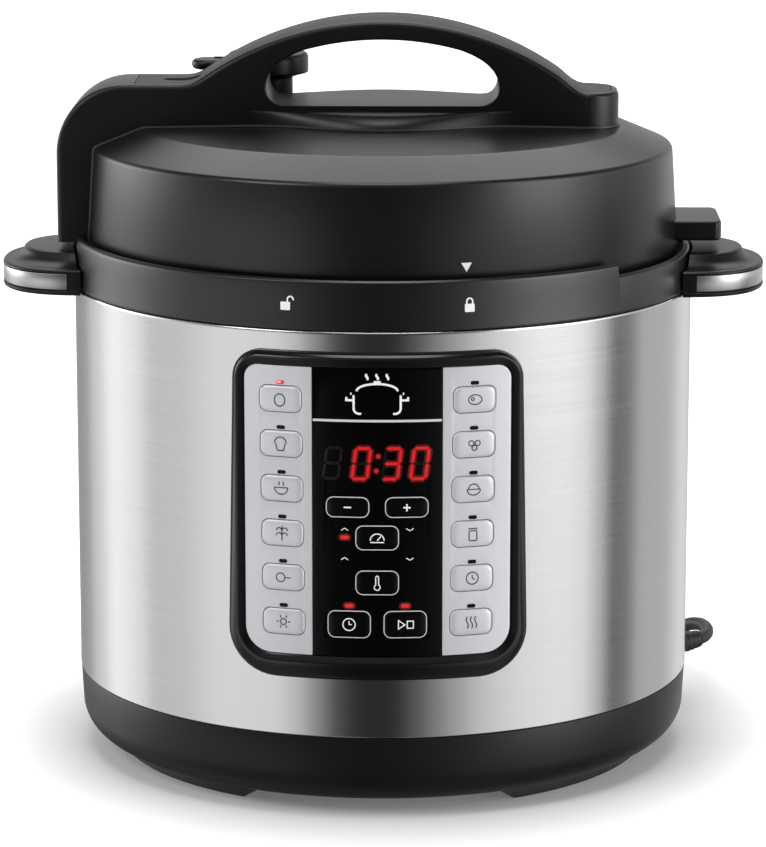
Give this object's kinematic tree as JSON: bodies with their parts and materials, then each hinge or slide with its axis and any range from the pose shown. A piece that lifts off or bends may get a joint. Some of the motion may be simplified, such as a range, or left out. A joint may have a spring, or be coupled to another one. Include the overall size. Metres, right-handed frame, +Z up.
{
  "type": "electric pressure cooker",
  "caption": "Round electric pressure cooker with a steel body, a domed bayonet lid under an arched handle, two side handles and a curved key panel with a digit display.",
  "frame": {"origin": "on the ground below the axis of the round body, where the four feet stand", "axes": "+Z up along the body's axis, -Y towards the key panel at the front, +X to the right as seen from the front"},
  "size_m": [0.3332, 0.3454, 0.3214],
  "materials": {
    "black_plastic": "satin, fine grain",
    "rubber_feet": "matte",
    "cord_cover": "matte",
    "brushed_steel": "brushed round the body",
    "polished_steel": "polished",
    "aluminium": "satin",
    "gloss_black": "gloss",
    "silver_film": "metallic silver film",
    "silicone": "translucent white",
    "clear_plastic": "clear",
    "circuit_board": "solder mask",
    "red_display": "lit digits"
  },
  "bodies": {
    "root": {"base_shell": "black_plastic", "bottom_cover": "black_plastic", "foot_front_left": "rubber_feet", "foot_front_right": "rubber_feet", "foot_rear_left": "rubber_feet", "foot_rear_right": "rubber_feet", "outer_shell": "brushed_steel", "collar": "black_plastic", "side_handle_left": "black_plastic", "side_handle_right": "black_plastic", "handle_trim_left": "brushed_steel", "handle_trim_right": "brushed_steel", "outer_pot": "aluminium", "panel_bezel": "black_plastic", "panel_strip_left": "silver_film", "panel_strip_right": "silver_film", "panel_window": "gloss_black", "display_module": "red_display", "control_board": "circuit_board", "power_board": "circuit_board", "pressure_switch": "black_plastic", "cup_niche": "black_plastic", "strain_relief": "cord_cover", "power_cord": "cord_cover", "cord_coil": "cord_cover", "cord_plug": "cord_cover"},
    "heater": {"heating_plate": "aluminium", "inner_pot": "polished_steel"},
    "sensor": {"temperature_sensor": "aluminium"},
    "lid_slider": {"lid_position_slider": "black_plastic"},
    "lid": {"lid_cover": "black_plastic", "lid_handle": "black_plastic", "handle_inlay": "black_plastic", "inner_lid": "polished_steel", "sealing_ring": "silicone", "ring_rack": "polished_steel", "anti_block_shield": "polished_steel", "steam_pipe": "polished_steel"},
    "steam_valve": {"steam_valve": "black_plastic"},
    "float_valve": {"float_valve": "polished_steel", "float_seal": "silicone"},
    "condensation_cup": {"condensation_cup": "clear_plastic"},
    "key_left_1": {"key_left_1": "silver_film"},
    "key_left_2": {"key_left_2": "silver_film"},
    "key_left_3": {"key_left_3": "silver_film"},
    "key_left_4": {"key_left_4": "silver_film"},
    "key_left_5": {"key_left_5": "silver_film"},
    "key_left_6": {"key_left_6": "silver_film"},
    "key_right_1": {"key_right_1": "silver_film"},
    "key_right_2": {"key_right_2": "silver_film"},
    "key_right_3": {"key_right_3": "silver_film"},
    "key_right_4": {"key_right_4": "silver_film"},
    "key_right_5": {"key_right_5": "silver_film"},
    "key_right_6": {"key_right_6": "silver_film"},
    "key_minus": {"key_minus": "gloss_black"},
    "key_plus": {"key_plus": "gloss_black"},
    "key_pressure": {"key_pressure": "gloss_black"},
    "key_temperature": {"key_temperature": "gloss_black"},
    "key_delay": {"key_delay": "gloss_black"},
    "key_start": {"key_start": "gloss_black"}
  },
  "joints": [
    {"name": "lid_turn", "type": "hinge", "parent": "root", "child": "lid_slider", "pos_m": [0, 0, 0.22], "axis": [0, 0, 1], "range_deg": [-32, 0]},
    {"name": "lid_lift", "type": "slide", "parent": "lid_slider", "child": "lid", "axis": [0, 0, 1], "range_m": [0, 0.28]},
    {"name": "steam_valve_turn", "type": "hinge", "parent": "lid", "child": "steam_valve", "pos_m": [-0.052, 0.042, 0.29], "axis": [0, 0, 1], "range_deg": [-75, 0]},
    {"name": "float_valve_rise", "type": "slide", "parent": "lid", "child": "float_valve", "axis": [0, 0, 1], "range_m": [0, 0.0055]},
    {"name": "heater_sink", "type": "slide", "parent": "root", "child": "heater", "axis": [0, 0, 1], "range_m": [-0.001, 0], "stiffness_N_per_m": 20000, "springref_m": 0.003},
    {"name": "sensor_press", "type": "slide", "parent": "heater", "child": "sensor", "axis": [0, 0, 1], "range_m": [-0.002, 0], "stiffness_N_per_m": 1000, "springref_m": 0.003},
    {"name": "cup_pull", "type": "slide", "parent": "root", "child": "condensation_cup", "axis": [0, 1, 0], "range_m": [0, 0.04]},
    {"name": "key_left_1_press", "type": "slide", "parent": "root", "child": "key_left_1", "axis": [0.2912, 0.9567, 0], "range_m": [0, 0.0005], "stiffness_N_per_m": 600, "springref_m": -0.0005},
    {"name": "key_left_2_press", "type": "slide", "parent": "root", "child": "key_left_2", "axis": [0.2896, 0.9571, 0], "range_m": [0, 0.0005], "stiffness_N_per_m": 600, "springref_m": -0.0005},
    {"name": "key_left_3_press", "type": "slide", "parent": "root", "child": "key_left_3", "axis": [0.288, 0.9576, 0], "range_m": [0, 0.0005], "stiffness_N_per_m": 600, "springref_m": -0.0005},
    {"name": "key_left_4_press", "type": "slide", "parent": "root", "child": "key_left_4", "axis": [0.2864, 0.9581, 0], "range_m": [0, 0.0005], "stiffness_N_per_m": 600, "springref_m": -0.0005},
    {"name": "key_left_5_press", "type": "slide", "parent": "root", "child": "key_left_5", "axis": [0.2848, 0.9586, 0], "range_m": [0, 0.0005], "stiffness_N_per_m": 600, "springref_m": -0.0005},
    {"name": "key_left_6_press", "type": "slide", "parent": "root", "child": "key_left_6", "axis": [0.2832, 0.9591, 0], "range_m": [0, 0.0005], "stiffness_N_per_m": 600, "springref_m": -0.0005},
    {"name": "key_right_1_press", "type": "slide", "parent": "root", "child": "key_right_1", "axis": [-0.2912, 0.9567, 0], "range_m": [0, 0.0005], "stiffness_N_per_m": 600, "springref_m": -0.0005},
    {"name": "key_right_2_press", "type": "slide", "parent": "root", "child": "key_right_2", "axis": [-0.2896, 0.9571, 0], "range_m": [0, 0.0005], "stiffness_N_per_m": 600, "springref_m": -0.0005},
    {"name": "key_right_3_press", "type": "slide", "parent": "root", "child": "key_right_3", "axis": [-0.288, 0.9576, 0], "range_m": [0, 0.0005], "stiffness_N_per_m": 600, "springref_m": -0.0005},
    {"name": "key_right_4_press", "type": "slide", "parent": "root", "child": "key_right_4", "axis": [-0.2864, 0.9581, 0], "range_m": [0, 0.0005], "stiffness_N_per_m": 600, "springref_m": -0.0005},
    {"name": "key_right_5_press", "type": "slide", "parent": "root", "child": "key_right_5", "axis": [-0.2848, 0.9586, 0], "range_m": [0, 0.0005], "stiffness_N_per_m": 600, "springref_m": -0.0005},
    {"name": "key_right_6_press", "type": "slide", "parent": "root", "child": "key_right_6", "axis": [-0.2832, 0.9591, 0], "range_m": [0, 0.0005], "stiffness_N_per_m": 600, "springref_m": -0.0005},
    {"name": "key_minus_press", "type": "slide", "parent": "root", "child": "key_minus", "axis": [0.0889, 0.996, 0], "range_m": [0, 0.0005], "stiffness_N_per_m": 600, "springref_m": -0.0005},
    {"name": "key_plus_press", "type": "slide", "parent": "root", "child": "key_plus", "axis": [-0.0889, 0.996, 0], "range_m": [0, 0.0005], "stiffness_N_per_m": 600, "springref_m": -0.0005},
    {"name": "key_pressure_press", "type": "slide", "parent": "root", "child": "key_pressure", "axis": [0, 1, 0], "range_m": [0, 0.0005], "stiffness_N_per_m": 600, "springref_m": -0.0005},
    {"name": "key_temperature_press", "type": "slide", "parent": "root", "child": "key_temperature", "axis": [0, 1, 0], "range_m": [0, 0.0005], "stiffness_N_per_m": 600, "springref_m": -0.0005},
    {"name": "key_delay_press", "type": "slide", "parent": "root", "child": "key_delay", "axis": [0.0845, 0.9964, 0], "range_m": [0, 0.0005], "stiffness_N_per_m": 600, "springref_m": -0.0005},
    {"name": "key_start_press", "type": "slide", "parent": "root", "child": "key_start", "axis": [-0.0845, 0.9964, 0], "range_m": [0, 0.0005], "stiffness_N_per_m": 600, "springref_m": -0.0005}
  ]
}
